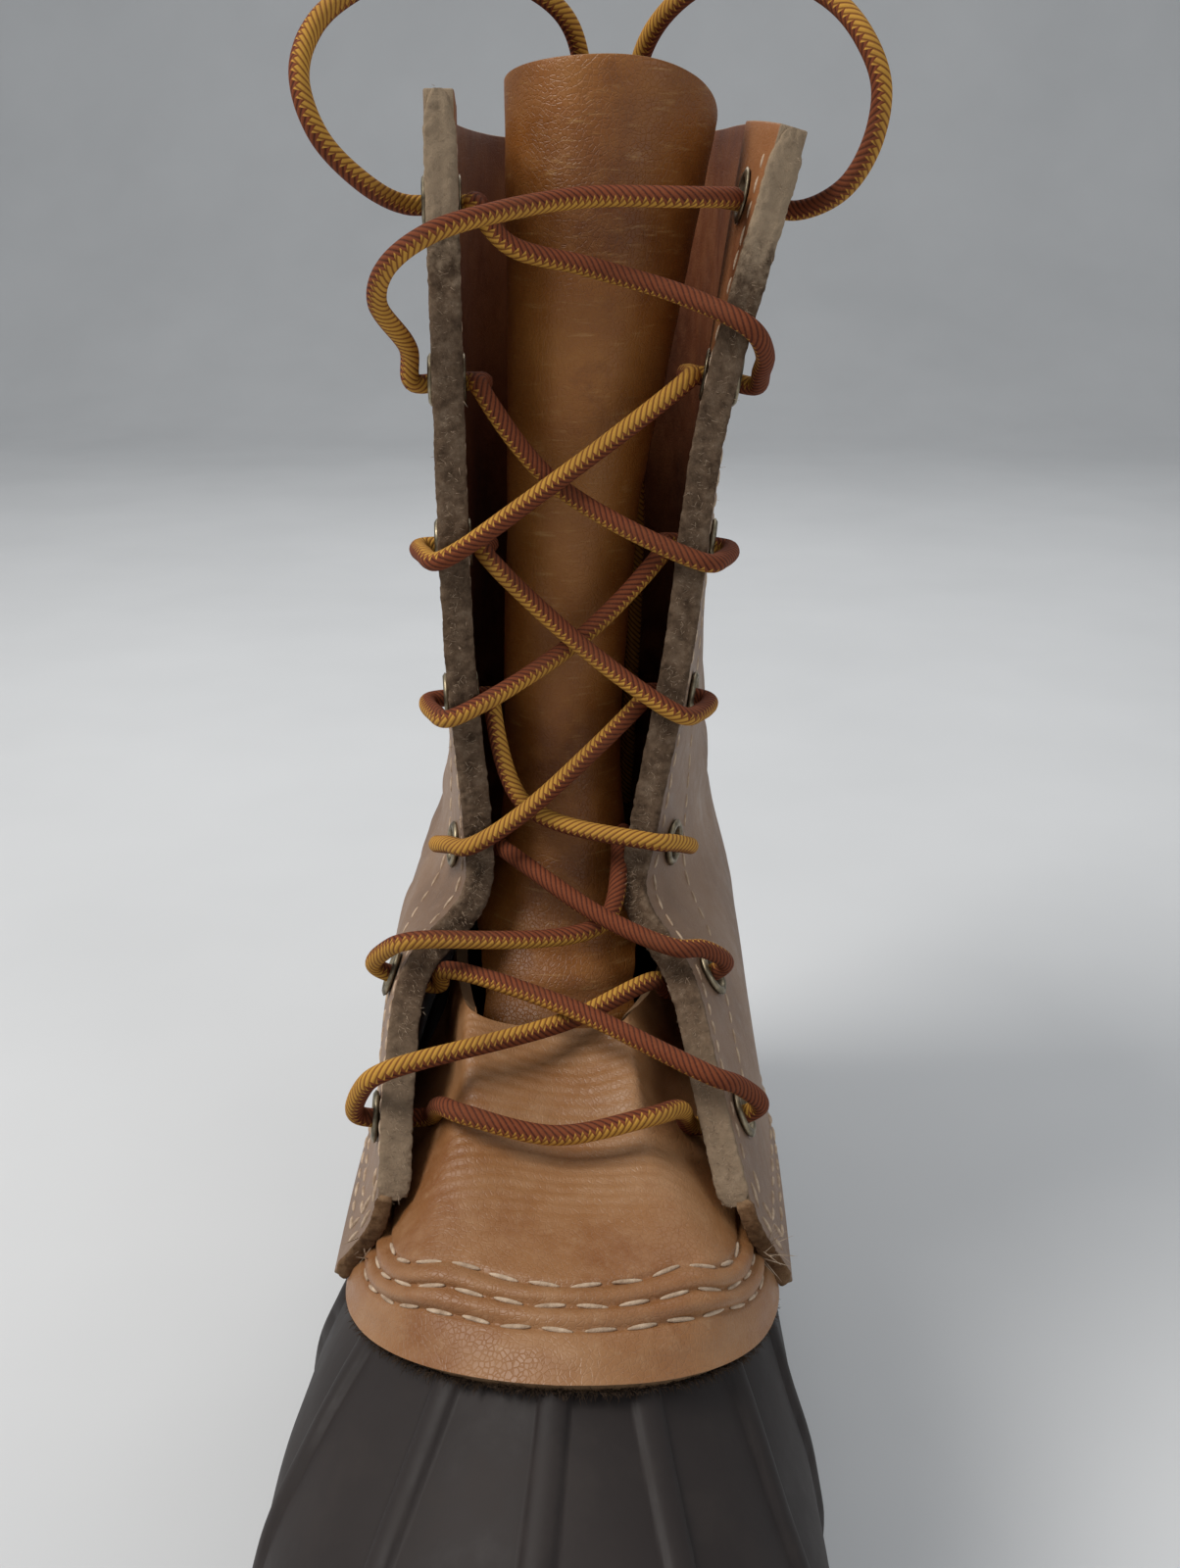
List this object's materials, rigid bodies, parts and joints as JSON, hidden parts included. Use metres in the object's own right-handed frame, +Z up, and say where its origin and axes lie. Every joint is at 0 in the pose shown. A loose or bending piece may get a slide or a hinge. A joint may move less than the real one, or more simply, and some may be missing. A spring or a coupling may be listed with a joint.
{
  "type": "insulated rubber-bottom hunting boot",
  "caption": "Lace-up right boot with a leather shaft on a ribbed rubber bottom, a rolled leather tongue and a two-tone round lace",
  "frame": {"origin": "on the floor under the middle of the boot, measured without the lace", "axes": "+Z up, -Y towards the toe, +X towards the wearer's inner side"},
  "size_m": [0.101, 0.2934, 0.2919],
  "materials": {
    "rubber": "matte moulded rubber",
    "steel": "plain sprung steel strip",
    "foam": "closed-cell foam",
    "felt": "felted wool",
    "vamp_leather": "smooth waxed tan leather",
    "quarter_leather": "smooth worn tan leather",
    "facing_leather": "raw split edge",
    "tongue_leather": "oiled caramel leather with fine grain",
    "eyelet": "dull antique brass",
    "lace": "round two-tone braid",
    "aglet": "heat-shrunk tip"
  },
  "bodies": {
    "boot": {"outsole": "rubber", "rubber_bottom": "rubber", "shank": "steel", "insulating_midsole": "foam", "vamp": "vamp_leather", "quarter_lateral": "quarter_leather", "quarter_medial": "quarter_leather", "facing_lateral": "facing_leather", "facing_medial": "facing_leather", "backstay": "quarter_leather", "eyelet_lateral_1": "eyelet", "eyelet_lateral_2": "eyelet", "eyelet_lateral_3": "eyelet", "eyelet_lateral_4": "eyelet", "eyelet_lateral_5": "eyelet", "eyelet_lateral_6": "eyelet", "eyelet_lateral_7": "eyelet", "eyelet_medial_1": "eyelet", "eyelet_medial_2": "eyelet", "eyelet_medial_3": "eyelet", "eyelet_medial_4": "eyelet", "eyelet_medial_5": "eyelet", "eyelet_medial_6": "eyelet", "eyelet_medial_7": "eyelet", "lace": "lace", "aglet_lateral": "aglet", "aglet_medial": "aglet"},
    "tongue": {"tongue": "tongue_leather"},
    "footbed": {"footbed": "felt"}
  },
  "joints": [
    {"name": "tongue_tilt", "type": "hinge", "parent": "boot", "child": "tongue", "pos_m": [0, 0.012, 0.104], "axis": [-1, 0, 0], "range_deg": [0, 7], "stiffness_Nm_per_rad": 0.5},
    {"name": "footbed_lift", "type": "hinge", "parent": "boot", "child": "footbed", "pos_m": [0, -0.1385, 0.0335], "axis": [1, 0, 0], "range_deg": [0, 5]}
  ]
}
